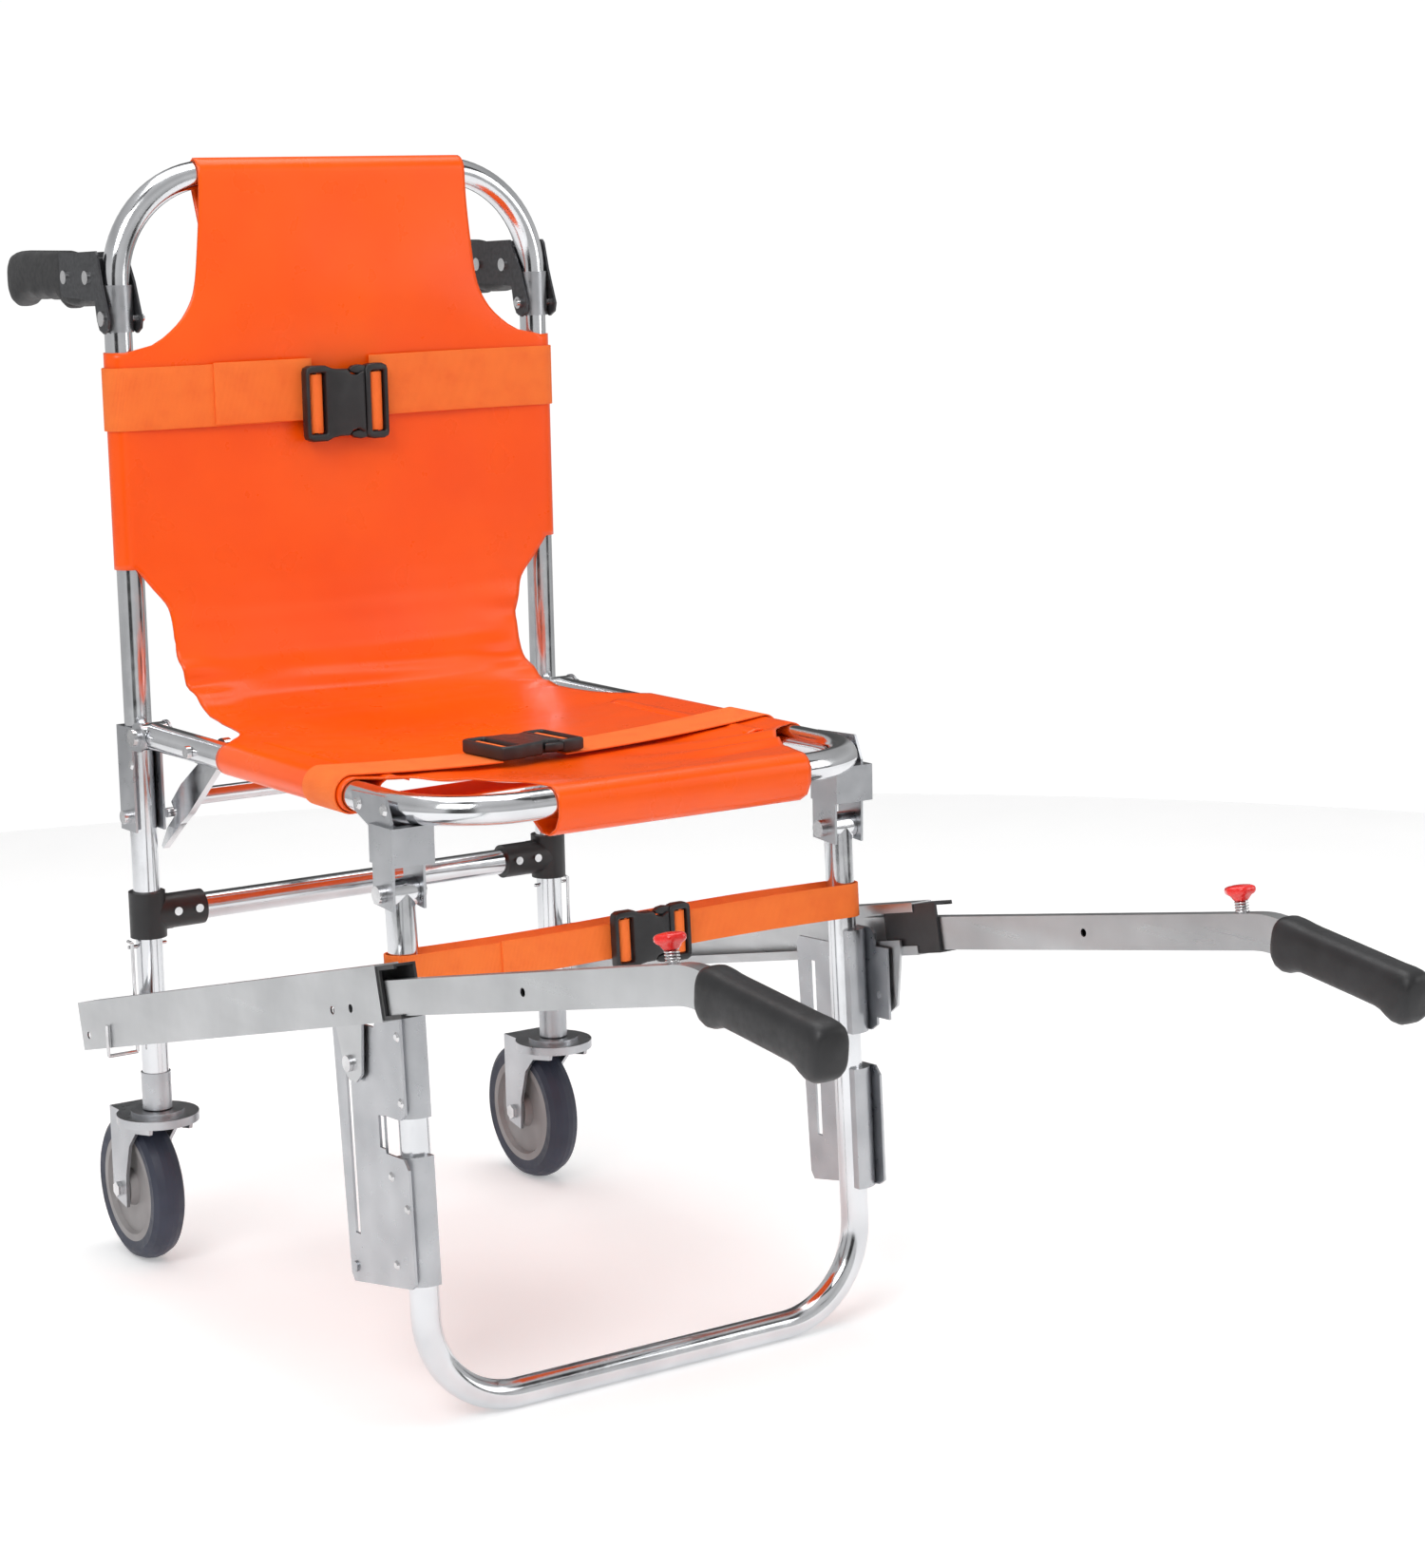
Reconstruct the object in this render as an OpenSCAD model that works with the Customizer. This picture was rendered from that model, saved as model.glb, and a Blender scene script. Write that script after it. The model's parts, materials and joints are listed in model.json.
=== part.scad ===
// Folding stair chair for carrying a seated person.
// +Z is up, the floor is Z = 0, the seat faces -Y and +X is the sitter's left-hand side.

/* [Frame] */
// Height from the floor to the top of the back tube
overall_h = 910; // [900:5:920]
// Distance between the centres of the two back posts
post_span = 384; // [380:2:388]
// Diameter of the frame tubes
tube_d = 22; // [21.8:0.1:22]
// Wall thickness of the frame tubes
tube_wall = 1.5; // [1.2:0.1:2]
// Bend radius of the back tube corners
back_bend_r = 85; // [75:5:90]
// Bend radius of the seat and leg tube corners
low_bend_r = 72; // [65:1:75]
// Height of the lower cross bar
cross_z = 303; // [300:1:306]

/* [Casters] */
// Wheel diameter
wheel_d = 125; // [121:1:125]
// Distance the wheel axle trails behind the swivel
trail = 40; // [38:1:42]

/* [Seat] */
// Thickness of the coated fabric
sling_t = 1.5; // [1.2:0.1:1.5]

/* [Front handles] */
// Upward pitch of the left handle rail
pitch_l = 13.75; // [13:0.25:14]
// Upward pitch of the right handle rail
pitch_r = 11.7; // [11:0.1:12.5]
// How far the left handle is drawn out of its rail
draw_l = 348; // [340:1:352]
// How far the right handle is drawn out of its rail
draw_r = 339; // [335:1:345]

/* [Hidden] */
$fn = 48;
r = tube_d / 2;
ri = r - tube_wall;
px = post_span / 2;
post_y = 225;
rear_end = 424;
top_z = overall_h - r;
socket_top = 170;
socket_bot = 143;
seat_piv = [198, 454];
seat_z = 454;
front_y = -267;
leg_piv = [-210, 393];
leg_lean = 3;
leg_len = (leg_piv[1] - r) / cos(leg_lean);
axle_z = wheel_d / 2;
latch = [208, 388];
strut_piv = [105, seat_z];
rear_piv = [220, 787];
rear_bolt_z = 819;
plate_x = px + r + 0.3;
plate_t = 2;
bracket_top = 466;
bracket_low = 374;
side_x = px + r + 4.3;
ear_x = side_x + plate_t + 2.2;
rail_in = ear_x + plate_t;
rail_w = 19;
rail_h = 40;
rail_wall = 1.5;
rail_len = 545;
handle_h = 25;
handle_w = 12;
handle_x = rail_in + rail_w / 2;
handle_tilt = 1.6;
handle_bend = 18;
handle_in = 100;
handle_bend_r = 80;
handle_start = 31;
handle_clear = 2.8;
grip_len = 126;
grip_top = 12;
rail_ends = [[-254, 313, pitch_l, draw_l], [-283, 301, pitch_r, draw_r]];
rail_pins = [[51.8, -128.5], [-24, -132]];
plunger_r = 3;
knob_back = 11;
stem_r = 6;
fork_top = 135;
crown_r = 34;
crown_end = 54;
strut_x = px - r - 9;
bar_r = 7;
bar_at = [184, 403];
rear_in = r + 2;
rear_out = rear_in + plate_t;
clip_z = 277;
clip_r = 1.5;
clip_x = px + r + 6;
clip_low = 190;
sling_r = r + 0.35;
strap_r = sling_r + sling_t + 0.55;
sling_set_in = 0.3;
strap_set_in = 0.2;
strap_t = 1.6;
panel_y = post_y - sling_r - sling_t + sling_set_in;
head_half = 122;
sleeve_low = 587;
sleeve_top = 760;
seat_panel_z = seat_z + 2.5;
strap_y = post_y - strap_r;
chest_half = 25;
chest_z = 724;
lap_slope = 30 / (2 * px);
lap_dir = atan(lap_slope);
lap_x = -25;
lap_y = -105;
lap_half = 25;
buckle_gap = 30;
leg_strap_z = -57;
leg_strap_in = r + 1.5;
leg_strap_half = 13;
leg_buckle_scale = 0.87;
// How far in front of the posts' datum the grip of side k reaches.
function reach(k) = let (e = rail_ends[k], p = e[2], q = p - handle_tilt, g = q - handle_bend)
    -e[0] + handle_start * cos(p) - (handle_clear + handle_h / 2) * sin(p) + e[3] * cos(q)
    + handle_bend_r * sin(q) + grip_len * cos(g) - (handle_bend_r + grip_top) * sin(g);
centre_y = (max(reach(0), reach(1)) - rear_end) / 2;

// Moves a piece so that the origin is at the middle of the whole object's footprint.
module put() {
    translate([0, centre_y, 0]) children();
}

// Mirrors a left-hand piece to the right-hand side when k is 1.
module side(k) {
    if (k == 0) children();
    else mirror([1, 0, 0]) children();
}

// Cylinder along X from x0 to x1, centred on y and z.
module xcyl(x0, x1, y, z, rad) {
    translate([x0, y, z]) rotate([0, 90, 0]) cylinder(r = rad, h = x1 - x0);
}

// Cylinder along Y from y0 to y1, centred on x and z.
module ycyl(x, y0, y1, z, rad) {
    translate([x, y0, z]) rotate([-90, 0, 0]) cylinder(r = rad, h = y1 - y0);
}

// Flat plate lying in the YZ plane, outline given as [y, z] points, from x0 to x1.
module yzplate(x0, x1) {
    translate([x0, 0, 0])
        multmatrix([[0, 0, 1, 0], [1, 0, 0, 0], [0, 1, 0, 0], [0, 0, 0, 1]])
            linear_extrude(x1 - x0) children();
}

// U-shaped bent bar: legs end at z = 0, crown centre line at z = h, half width w, bend radius b.
module u_solid(w, h, b, rad, low) {
    for (s = [-1, 1]) {
        translate([s * w, 0, low]) cylinder(r = rad, h = h - b - low);
        translate([s * (w - b), 0, h - b]) rotate([90, 0, 0])
            rotate([0, 0, s > 0 ? 0 : 90])
                rotate_extrude(angle = 90) translate([b, 0]) circle(r = rad);
    }
    translate([-(w - b), 0, h]) rotate([0, 90, 0]) cylinder(r = rad, h = 2 * (w - b));
}

// Hollow U-shaped bent tube.
module u_tube(w, h, b) {
    difference() {
        u_solid(w, h, b, r, 0);
        u_solid(w, h, b, ri, -1);
    }
}

module back_frame() {
    color("silver") difference() {
        translate([0, post_y, socket_bot + 2])
            u_tube(px, top_z - socket_bot - 2, back_bend_r);
        for (s = [-1, 1]) {
            xcyl(s * px - r - 1, s * px + r + 1, post_y, clip_z, clip_r + 0.1);
            xcyl(s * px - r - 1, s * px + r + 1, rear_piv[0], rear_piv[1], 3.1);
        }
    }
}

module cross_bar() {
    color("silver") difference() {
        xcyl(-px + r + 3, px - r - 3, post_y, cross_z, r);
        xcyl(-px + r + 2, px - r - 2, post_y, cross_z, ri);
    }
}

// Black clamp that joins the cross bar to one post.
module tee(k) {
    side(k) color("black") difference() {
        union() {
            translate([-px, post_y, cross_z - 19]) cylinder(r = r + 4, h = 38);
            xcyl(-px, -px + 48, post_y, cross_z, r + 3.5);
            translate([-px, post_y - 5, cross_z - 14]) cube([20, 10, 28]);
        }
        translate([-px, post_y, cross_z - 30]) cylinder(r = r + 0.05, h = 60);
        xcyl(-px + r + 2.95, -px + 60, post_y, cross_z, r + 0.05);
    }
}

// Sleeve at the foot of the post that takes the caster stem.
module socket(k) {
    side(k) color("gainsboro") translate([-px, post_y, 0]) difference() {
        translate([0, 0, socket_bot - 4]) cylinder(r = r + 1.2, h = socket_top - socket_bot + 4);
        translate([0, 0, socket_bot + 2]) cylinder(r = r + 0.05, h = 60);
        translate([0, 0, socket_bot - 6]) cylinder(r = stem_r + 0.06, h = 20);
    }
}

// Swivelling fork: raceway plate, crown and two cheeks down to the axle.
module fork(k) {
    side(k) color("silver") translate([-px, post_y, 0]) {
        translate([0, 0, fork_top - 6]) cylinder(r = stem_r, h = 28);
        difference() {
            union() {
                translate([0, 0, fork_top - 7]) cylinder(r = crown_r, h = 7);
                translate([0, 0, fork_top]) cylinder(r = 22, h = 3);
                translate([-19.5, 0, fork_top - 7]) cube([39, crown_end, 4]);
                for (s = [-1, 1]) yzplate(s * 18 - 1.5, s * 18 + 1.5) fork_cheek();
            }
            xcyl(-30, 30, trail, axle_z, 4.1);
        }
    }
}
module fork_cheek() {
    polygon([[-26, fork_top - 4], [crown_end, fork_top - 4], [trail + 14, axle_z + 2],
        [trail + 9, axle_z - 10], [trail - 11, axle_z - 14], [trail - 13, axle_z + 14], [18, 104],
        [4, 118], [-24, 123]]);
}

module tyre(k) {
    side(k) color("dimgray") translate([-px, post_y + trail, axle_z]) rotate([0, 90, 0])
        rotate_extrude($fn = 96) polygon([[46, -13], [54, -14], [59, -11], [wheel_d / 2 - 0.8, -5],
            [wheel_d / 2, 0], [wheel_d / 2 - 0.8, 5], [59, 11], [54, 14], [46, 13]]);
}

module hub(k) {
    side(k) color("gray") translate([-px, post_y + trail, axle_z]) rotate([0, 90, 0])
        rotate_extrude($fn = 96) polygon([[4.6, -15.5], [14, -15.5], [16, -9], [38, -9], [40, -13],
            [46, -13], [46, 13], [40, 13], [38, 9], [16, 9], [14, 15.5], [4.6, 15.5]]);
}

module axle(k) {
    side(k) color("lightgray") translate([-px, post_y + trail, axle_z]) {
        xcyl(-20, 20, 0, 0, 4);
        rotate([0, -90, 0]) translate([0, 0, 19.6]) cylinder(r = 6.5, h = 4, $fn = 6);
        rotate([0, 90, 0]) translate([0, 0, 19.6]) cylinder(r = 6.5, h = 4, $fn = 6);
    }
}

// Bracket round the back post that carries the seat hinge and the latch pin.
module post_bracket(k) {
    side(k) color("silver") difference() {
        union() {
            for (x = [-plate_x - plate_t, -px + r + 0.3]) yzplate(x, x + plate_t) bracket_outline();
            translate([-plate_x - plate_t, post_y + r + 0.3, bracket_low])
                cube([2 * (r + 0.3 + plate_t), plate_t, bracket_top - bracket_low - 6]);
        }
        xcyl(-px - 20, -px + 20, seat_piv[0], seat_piv[1], 4.1);
    }
}
module bracket_outline() {
    difference() {
        union() {
            translate([post_y - 15, bracket_low]) square([28.3, bracket_top - bracket_low - 6]);
            translate([seat_piv[0], seat_z - 12]) square([40.3, bracket_top - seat_z + 6]);
            translate([seat_piv[0], seat_z]) circle(r = 12);
        }
        translate([post_y + 13.3, bracket_top - 6]) square([10, 10]);
    }
}

// Seat tube with the fork ends drilled for the hinge bolts.
module seat_frame() {
    color("silver") difference() {
        union() {
            translate([0, seat_piv[0] - 6, seat_z]) rotate([90, 0, 0])
                u_tube(px, seat_piv[0] - 6 - front_y, low_bend_r);
            for (s = [-1, 1]) xcyl(s * px - r, s * px + r, seat_piv[0], seat_piv[1], r);
        }
        for (s = [-1, 1]) xcyl(s * px - 20, s * px + 20, seat_piv[0], seat_piv[1], 4.1);
        for (s = [-1, 1]) xcyl(s * px - 20, s * px + 20, strut_piv[0], strut_piv[1], 3.1);
    }
}

// Two support struts and the tube that joins them, lifted together by hand.
module release_bar() {
    color("lightgray") difference() {
        union() {
            for (s = [-1, 1]) yzplate(s * strut_x - 3, s * strut_x + 3) strut_outline();
            xcyl(-strut_x, strut_x, bar_at[0], bar_at[1], bar_r);
        }
        for (s = [-1, 1]) xcyl(s * strut_x - 5, s * strut_x + 5, strut_piv[0], strut_piv[1], 3.1);
    }
}
module strut_outline() {
    difference() {
        union() {
            translate(strut_piv) circle(r = 8);
            polygon([[100, 449], [110, 461], [186, 414], [206, 397], [198, 388], [216, 374],
                [229, 357], [226, 355], [190, 381], [174, 391]]);
        }
        translate(latch) circle(r = 5.2);
        translate([latch[0], latch[1] - 2]) square([20, 20]);
    }
}

// Plates that hang the front leg from the seat tube.
module corner_bracket(k) {
    side(k) color("silver") difference() {
        union() {
            yzplate(-plate_x - plate_t, -plate_x) hanger_outline();
            yzplate(-px + r + 0.3, -px + r + 0.3 + plate_t) intersection() {
                hanger_outline();
                translate([-240, 380]) square([60, 61]);
            }
            translate([-plate_x - 1, -198.5, 419]) cube([2 * (r + 1.3), 2, 20]);
        }
        xcyl(-px - 20, -px + 20, leg_piv[0], leg_piv[1], 4.1);
    }
}
module hanger_outline() {
    polygon([[-168, 462], [-172, 448], [-192, 440], [-196, 416], [-196, 384], [-225, 382],
                [-226, 446], [-218, 464]]);
}

// Wide block that ties the two hanger plates together.
module corner_block(k) {
    side(k) color("lightsteelblue") translate([-px, 0, 0]) difference() {
        translate([-17, -233, 415]) cube([34, 34, 28]);
        for (s = [-1, 1]) translate([s * (r + 0.3 + plate_t / 2) - 1.05, -226.1, 410]) cube([2.1, 40, 40]);
        translate([-8, -225, 410]) cube([16, 20, 40]);
    }
}

// Everything on the front leg is drawn with its hinge at the origin.
module leg_place() {
    translate([0, leg_piv[0], leg_piv[1]]) rotate([-leg_lean, 0, 0]) children();
}

module leg_frame() {
    color("silver") leg_place() difference() {
        union() {
            rotate([180, 0, 0]) u_solid(px, leg_len, low_bend_r, r, 0);
            for (s = [-1, 1]) xcyl(s * px - r, s * px + r, 0, 0, r);
        }
        rotate([180, 0, 0]) u_solid(px, leg_len, low_bend_r, ri, -6);
        for (s = [-1, 1]) xcyl(s * px - 20, s * px + 20, 0, 0, 4.1);
    }
}

// Slotted plate with two bands wrapped round the leg.
module slot_plate(k) {
    side(k) color("lightgray") leg_place() difference() {
        union() {
            yzplate(-side_x - plate_t, -side_x)
                polygon([[-20, -84], [-20, -156], [-12, -161], [12, -161], [12, -189], [-14, -189],
                    [-20, -196], [-20, -280], [-14, -284], [74, -296], [78, -290], [84, -104], [80, -98],
                    [20, -98], [8, -80], [-16, -80]]);
            if (k == 1) yzplate(-side_x - plate_t, -side_x)
                translate([-36, -150]) square([26, 56]);
            for (z = [-161, -284]) translate([-px, 0, z]) shell(z < -200 ? 95 : 81);
            xcyl(-side_x - 3.5, -side_x, 70, -284, 4);
        }
        yzplate(-side_x - 3, -side_x + 1) {
            translate([60, -258]) square([7, 142]);
            translate([12.5, -186]) square([8, 24]);
        }
        xcyl(-side_x - 3, -side_x + 1, rail_pins[k][0], rail_pins[k][1], 3.1);
    }
}
module shell(h) {
    intersection() {
        difference() {
            cylinder(r = side_x + plate_t - px, h = h);
            translate([0, 0, -1]) cylinder(r = r + 0.3, h = h + 2);
        }
        translate([-20, -20, 0]) cube([26, 20, h]);
    }
}

// Handle rail pieces are drawn with X across, Y forward and up along the rail and Z square to it.
// The origin is the lower front corner of the rail.
module rail_place(k) {
    e = rail_ends[k];
    translate([0, e[0], e[1]]) rotate([-e[2], 0, 0]) mirror([0, 1, 0]) children();
}

// Position in rail coordinates of a point given in leg coordinates.
function to_rail(k, p) = let (
        y = leg_piv[0] + p[0] * cos(leg_lean) + p[1] * sin(leg_lean) - rail_ends[k][0],
        z = leg_piv[1] - p[0] * sin(leg_lean) + p[1] * cos(leg_lean) - rail_ends[k][1],
        c = cos(rail_ends[k][2]), s = sin(rail_ends[k][2]))
    [-y * c + z * s, y * s + z * c];

// Channel open towards the chair, with a hook plate hanging from its lower lip.
module rail(k) {
    pin = to_rail(k, rail_pins[k]);
    side(k) color("gainsboro") rail_place(k) difference() {
        union() {
            difference() {
                translate([-rail_in - rail_w, -rail_len, 0]) cube([rail_w, rail_len, rail_h]);
                translate([-rail_in - rail_w + rail_wall, -rail_len - 1, rail_wall])
                    cube([rail_w - 2 * rail_wall, rail_len + 2, rail_h - 2 * rail_wall]);
                translate([-rail_in - 2, -rail_len - 1, 7]) cube([4, rail_len + 2, rail_h - 14]);
            }
            yzplate(-rail_in, -ear_x) polygon([[pin[0] - 9, pin[1] - 6], [pin[0] - 4, pin[1] - 12],
                [pin[0] + 6, pin[1] - 14], [pin[0] + 16, pin[1] - 9], [pin[0] + 30, 6], [pin[0] + 30, 12],
                [pin[0] - 14, 12], [pin[0] - 14, 4]]);
        }
        xcyl(-rail_in - 1, -ear_x + 1, pin[0], pin[1], 3.1);
        for (u = [rail_len - 14, 75, 46]) xcyl(-rail_in - rail_w - 1, -rail_in - 10, -u, 12, 3.1);
    }
}

// Black mouth guide pressed into the front of the channel.
module guide(k) {
    side(k) color("black") rail_place(k) difference() {
        union() {
            translate([-rail_in - rail_w + rail_wall + 0.1, -40, rail_wall + 0.1])
                cube([rail_w - 2 * rail_wall - 0.2, 44, rail_h - 2 * rail_wall - 0.2]);
            translate([-rail_in - rail_w + 1, 0.1, 1]) cube([rail_w - 2, 27, rail_h - 2]);
        }
        translate([-handle_x - handle_w / 2 - 0.5, -41, 2.6])
            cube([handle_w + 1, 80, rail_h - 5.2]);
        translate([-rail_in - rail_w - 1, 4, 4]) cube([8, 30, rail_h - 8]);
    }
}

// The handle is tilted a little in its rail. Y runs forward along the handle from the rail mouth.
module handle_place(k) {
    rail_place(k) translate([0, handle_start, handle_clear + handle_h / 2])
        rotate([-handle_tilt, 0, 0]) children();
}

// Extruded bar from u0 to u1 and then bent down by handle_bend.
module handle_bar(u0, u1, w, h) {
    translate([-handle_x - w / 2, u0, -h / 2]) cube([w, u1 - u0, h]);
    translate([-handle_x, u1, -handle_bend_r]) rotate([0, 90, 0]) rotate([0, 0, 180])
        rotate_extrude(angle = -handle_bend) translate([handle_bend_r, 0]) square([h, w], center = true);
}
module grip_place(k) {
    handle_place(k) translate([0, rail_ends[k][3], -handle_bend_r]) rotate([-handle_bend, 0, 0])
        translate([0, 0, handle_bend_r]) children();
}

module handle_tube(k) {
    side(k) color("silver") difference() {
        union() {
            handle_place(k) handle_bar(-handle_in, rail_ends[k][3], handle_w, handle_h);
            grip_place(k) translate([-handle_x - handle_w / 2, -0.1, -handle_h / 2]) cube([handle_w, 90, handle_h]);
        }
        handle_place(k) {
            translate([-handle_x - handle_w / 2 + 1.5, -handle_in - 1, -handle_h / 2 + 1.5])
                cube([handle_w - 3, handle_in + rail_ends[k][3] - 2, handle_h - 3]);
            translate([-handle_x, rail_ends[k][3] - knob_back, 0]) cylinder(r = plunger_r + 0.1, h = 30);
            xcyl(-handle_x - 20, -handle_x + 20, 164, 0, 3);
        }
    }
}

// Hand grip pushed over the bent end of the handle tube.
module grip(k) {
    side(k) color("black") grip_place(k) difference() {
        intersection() {
            yzplate(-handle_x - 13, -handle_x + 13) grip_outline();
            union() {
                translate([-handle_x - 10, 0, -40]) cube([20, 140, 80]);
                translate([-handle_x - 13, 2, -40]) cube([26, grip_len - 6, 80]);
            }
        }
        translate([-handle_x - handle_w / 2 - 0.05, -5, -handle_h / 2 - 0.05])
            cube([handle_w + 0.1, 96, handle_h + 0.1]);
    }
}
module grip_outline() {
    polygon([[2, -15], [0, -12], [0, 13], [3, 16.5], [grip_len - 5, 16.5], [grip_len, grip_top],
        [grip_len, -14], [grip_len - 6, -21], [grip_len - 16, -20], [grip_len - 24, -15.5],
        [26, -15.5], [16, -20], [6, -20]]);
}

// Red pull knob on its locking plunger.
module knob(k) {
    side(k) color("red") handle_place(k) translate([-handle_x, rail_ends[k][3] - knob_back, 0]) {
        translate([0, 0, -2]) cylinder(r = plunger_r, h = 24);
        translate([0, 0, 21.9]) cylinder(r1 = 5, r2 = 10, h = 4);
        translate([0, 0, 25.8]) cylinder(r = 10, h = 5);
    }
}

// Sleeve round the back post that the fold-down rear handle is pinned through.
module rear_clamp(k) {
    side(k) color("silver") difference() {
        translate([-px, post_y, 776]) cylinder(r = r + 1.6, h = 37);
        translate([-px, post_y, 700]) cylinder(r = r + 0.05, h = 200);
        xcyl(-px - 20, -px + 20, rear_piv[0], rear_piv[1], 3.1);
    }
}
// Two plates on either side of the post, joined behind it, that carry the rear grip.
module rear_arm(k) {
    side(k) color("dimgray") {
        for (s = [-1, 1]) difference() {
            translate([-px + s * (rear_in + plate_t / 2), 0, 0]) yzplate(-plate_t / 2, plate_t / 2)
                rear_outline(s < 0 ? 226 : 233);
            xcyl(-px - 20, -px + 20, rear_piv[0], rear_piv[1], 3.1);
        }
        translate([-px - rear_in - 0.1, 240, 806]) cube([2 * rear_in + 0.2, 2, 28]);
    }
}
module rear_outline(corner) {
    polygon([[209, 786], [211, 779], [219, 775], [227, 778], [231, 785], [234, 801], [297, 803],
        [301, 807], [301, 838], [corner + 3, 840], [corner, 837], [220, 815]]);
}
// Bolt heads that hold the grip between the two plates.
module arm_bolts(k) {
    side(k) color("white") for (y = [247, 290], s = [-1, 1])
        xcyl(-px + s * (rear_out + 1) - 1, -px + s * (rear_out + 1) + 1, y, rear_bolt_z, 5.5);
}
module rear_grip(k) {
    side(k) color("black") union() {
        yzplate(-px - rear_in + 0.1, -px + rear_in - 0.1) polygon([[252, 835], [310, 835], [310, 800],
            [297, 796], [280, 795], [268, 797], [256, 804]]);
        yzplate(-px - 13, -px + 13) polygon([[302, 839], [417, 838], [423, 832], [rear_end, 806],
            [419, 796], [408, 793], [394, 801], [381, 804], [368, 801], [355, 804], [342, 801],
            [329, 804], [317, 796], [302, 793]]);
    }
}

// Spring wire hooked over a pin in the post and bent round the underside of the rail.
module wire_clip(k) {
    side(k) color("silver") {
        translate([-clip_x, post_y - 4, clip_low]) cylinder(r = clip_r, h = clip_z + 4 - clip_low);
        ycyl(-clip_x, post_y - 4, post_y + 4, clip_z + 4, clip_r);
        xcyl(-rail_in - rail_w - 2, -clip_x, post_y - 4, clip_low, clip_r);
        translate([-rail_in - rail_w - 2, post_y - 4, clip_low]) cylinder(r = clip_r, h = 26);
    }
}

// Outline of the back fabric seen from the front, right half.
module back_outline() {
    polygon([[-1, top_z], [head_half, top_z], [127, 830], [131, 806], [140, 788], [156, 772],
        [176, 763], [px, sleeve_top - 3], [px, sleeve_low + 3], [178, 572], [165, 552], [160, 530],
        [159, 508], [154, 476], [-1, 476]]);
}

// Back fabric with a sleeve round each post and one round the top of the tube.
module back_sling() {
    color("orange") difference() {
        union() {
            translate([0, panel_y + sling_t, 0]) rotate([90, 0, 0]) linear_extrude(sling_t) {
                back_outline();
                mirror([1, 0]) back_outline();
            }
            for (s = [-1, 1]) translate([s * px, post_y, sleeve_low])
                cylinder(r = sling_r + sling_t, h = sleeve_top - sleeve_low);
            intersection() {
                translate([0, post_y, 0]) u_solid(px, top_z, back_bend_r, sling_r + sling_t, 800);
                translate([-head_half, post_y - 20, top_z - 20]) cube([2 * head_half, 40, 40]);
            }
        }
        translate([0, post_y, 0]) u_solid(px, top_z, back_bend_r, sling_r, 500);
    }
}

module seat_sling() {
    color("orange") difference() {
        union() {
            translate([0, 0, seat_panel_z]) linear_extrude(sling_t)
                polygon([[-152, 190], [152, 190], [160, 150], [165, 76], [px, 55], [px, -150], [176, -160],
                    [150, -195], [125, -245], [118, front_y], [-100, front_y], [-112, -235],
                    [-150, -190], [-176, -160], [-px, -150], [-px, 55], [-165, 76], [-160, 150]]);
            for (s = [-1, 1]) ycyl(s * px, -150, 55, seat_z, sling_r + sling_t);
            xcyl(-100, 118, front_y, seat_z, sling_r + sling_t);
        }
        for (s = [-1, 1]) ycyl(s * px, -160, 65, seat_z, sling_r);
        xcyl(-130, 130, front_y, seat_z, sling_r);
        for (s = [-1, 1]) translate([s * 119, front_y + low_bend_r, seat_z])
            rotate([0, 0, s > 0 ? -90 : 180]) rotate_extrude(angle = 90)
                translate([low_bend_r, 0]) circle(r = sling_r);
    }
}

// Section of webbing folded round the outer side of a tube centred on the origin. It runs on by w
// on the front and as far as the middle of the chair on the back. Both runs lie a little inside
// the fold's outline, so that fold and run cross instead of only touching.
module strap_wrap(w) {
    out = strap_r + strap_t;
    difference() {
        union() {
            intersection() {
                circle(r = out);
                translate([-2 * out, -2 * out]) square([2 * out + 3, 4 * out]);
            }
            translate([0, -out + strap_set_in]) square([w, strap_t]);
            translate([0, strap_r - strap_set_in]) square([px + 0.02, strap_t]);
        }
        circle(r = strap_r);
    }
}

// Loop of webbing round both posts, over the back fabric, closed by the chest buckle.
module chest_strap() {
    color("darkorange") for (k = [0, 1]) side(k) translate([-px, post_y, chest_z - chest_half])
        linear_extrude(2 * chest_half) strap_wrap(px - buckle_gap - 8 * k);
}

// Loop of webbing round both seat rails, running a little askew, closed by the lap buckle.
module lap_strap() {
    color("darkorange")
        multmatrix([[1, 0, 0, 0], [lap_slope, 1, 0, lap_y - lap_slope * lap_x], [0, 0, 1, 0]])
            for (k = [0, 1]) side(k) translate([-px, lap_half, seat_z]) rotate([90, 0, 0])
                mirror([0, 1, 0]) linear_extrude(2 * lap_half)
                    strap_wrap(px + (k == 0 ? lap_x : -lap_x) - buckle_gap);
}

module leg_strap_place() {
    leg_place() translate([0, 0, leg_strap_z]) children();
}
// Loop of webbing round both front legs.
module leg_strap() {
    color("darkorange") leg_strap_place() translate([0, 0, -leg_strap_half]) difference() {
        union() {
            for (s = [-1, 1]) translate([s * px, 0, 0]) 
                cylinder(r = leg_strap_in + strap_t, h = 2 * leg_strap_half);
            for (y = [-leg_strap_in - strap_t, leg_strap_in])
                translate([-px, y, 0]) cube([2 * px, strap_t, 2 * leg_strap_half]);
        }
        for (s = [-1, 1]) translate([s * px, 0, -1]) cylinder(r = leg_strap_in, h = 40);
        translate([-24, -leg_strap_in - strap_t - 1, -1]) cube([58, strap_t + 2, 40]);
    }
}

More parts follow.
